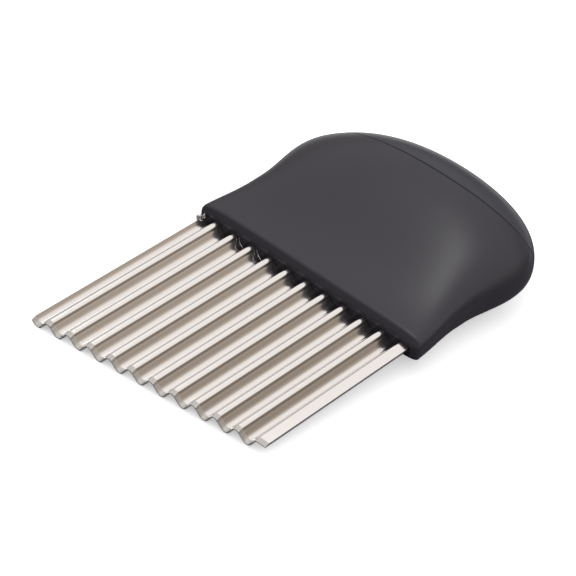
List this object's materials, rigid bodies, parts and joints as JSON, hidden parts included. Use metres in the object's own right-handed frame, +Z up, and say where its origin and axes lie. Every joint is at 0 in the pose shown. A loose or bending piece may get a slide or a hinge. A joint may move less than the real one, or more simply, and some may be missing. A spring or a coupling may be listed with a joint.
{
  "type": "soap cutter",
  "caption": "Hand cutter with a wide corrugated steel blade glued into a hollow rounded plastic handle, pressed down through a loaf of soap to cut bars with rippled sides.",
  "frame": {"origin": "on the table that the tool lies on, at the middle of the box round the whole tool", "axes": "+Z is up, +Y runs from the blade's cut edge to the rear of the handle, +X runs across the blade to the right"},
  "size_m": [0.0796, 0.1298, 0.0229],
  "materials": {
    "blade_steel": "polished stainless steel sheet",
    "handle_plastic": "moulded charcoal plastic with a fine matt texture",
    "cap_plastic": "moulded charcoal plastic with a fine matt texture",
    "adhesive_in_slot": "clear cured adhesive over dark plastic",
    "adhesive_bead": "clear cured adhesive"
  },
  "bodies": {
    "root": {"blade": "blade_steel", "handle_body": "handle_plastic", "rear_cap": "cap_plastic", "adhesive_upper": "adhesive_in_slot", "adhesive_lower": "adhesive_in_slot", "adhesive_bead": "adhesive_bead"}
  },
  "joints": []
}
